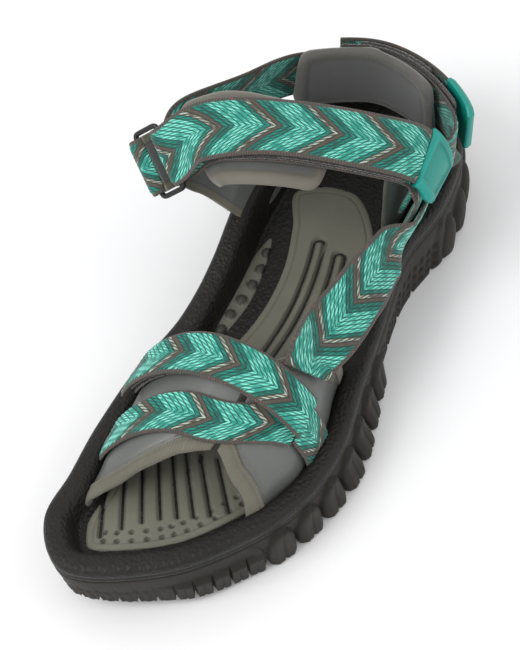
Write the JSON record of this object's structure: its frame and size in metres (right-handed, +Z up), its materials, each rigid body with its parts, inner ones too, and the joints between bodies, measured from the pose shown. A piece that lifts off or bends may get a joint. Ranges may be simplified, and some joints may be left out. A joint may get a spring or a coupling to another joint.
{
  "type": "sport sandal",
  "caption": "Strappy left-foot sport sandal: cupped lugged outsole, contoured footbed, patterned webbing straps at toe, ankle and heel with peel-open ends.",
  "frame": {"origin": "middle of the bottom of the bounding box, on the ground", "axes": "+Z up, +Y from toe to heel, +X towards the lateral side of a left foot"},
  "size_m": [0.134, 0.274, 0.1036],
  "materials": {
    "rubber": "matte olive black rubber",
    "eva_foam": "black foam with a leather grain",
    "grey_foam": "matte warm grey foam",
    "webbing": "teal, mint and grey-brown chevron weave",
    "grey_panel": "smooth grey synthetic",
    "binding": "ribbed beige-grey elastic",
    "hook_and_loop": "fuzzy dark grey",
    "moulded_tip": "soft teal moulding",
    "ring_plastic": "black plastic"
  },
  "bodies": {
    "sandal": {"outsole": "rubber", "footbed_insert": "grey_foam", "arch_insert": "grey_foam", "heel_insert": "grey_foam", "midsole": "eva_foam", "vamp_medial_panel": "grey_panel", "vamp_lateral_panel": "grey_panel", "vamp_medial_binding": "binding", "vamp_lateral_front_binding": "binding", "vamp_lateral_rear_binding": "binding", "toe_strap_front_run": "webbing", "toe_strap_loop_tape": "hook_and_loop", "toe_anchor": "webbing", "ankle_strap_base": "webbing", "ankle_strap_turn": "webbing", "ankle_ring": "ring_plastic", "ankle_loop_tape": "hook_and_loop", "ankle_pad": "grey_panel", "medial_quarter": "grey_panel", "ring_keeper": "webbing", "lateral_flap": "grey_panel", "diagonal_strap": "webbing"},
    "ankle_tail": {"ankle_strap_tail": "webbing", "ankle_tip": "moulded_tip", "ankle_hook_tape": "hook_and_loop"},
    "heel_tail": {"heel_strap_tail": "webbing", "heel_tip": "moulded_tip", "heel_hook_tape": "hook_and_loop"},
    "toe_tail": {"toe_strap_tail": "webbing", "toe_strap_hook_tape": "hook_and_loop"},
    "heel_strap": {"heel_strap_base": "webbing", "heel_pad": "grey_panel", "heel_loop_tape": "hook_and_loop"}
  },
  "joints": [
    {"name": "ankle_tail_peel", "type": "hinge", "parent": "sandal", "child": "ankle_tail", "pos_m": [-0.046, 0.0274, 0.0821], "axis": [0.6507, -0.4857, -0.5837], "range_deg": [0, 150]},
    {"name": "toe_tail_peel", "type": "hinge", "parent": "sandal", "child": "toe_tail", "pos_m": [0.0507, -0.0464, 0.0477], "axis": [0.03, 0.967, 0.253], "range_deg": [0, 150]},
    {"name": "heel_strap_swing", "type": "hinge", "parent": "sandal", "child": "heel_strap", "pos_m": [-0.0025, 0.0526, 0.0577], "axis": [0.9724, 0.2121, -0.097], "range_deg": [-3, 6]},
    {"name": "heel_tail_peel", "type": "hinge", "parent": "heel_strap", "child": "heel_tail", "pos_m": [-0.0142, 0.1184, 0.0612], "axis": [0.081, 0.046, 0.9957], "range_deg": [0, 150]}
  ]
}
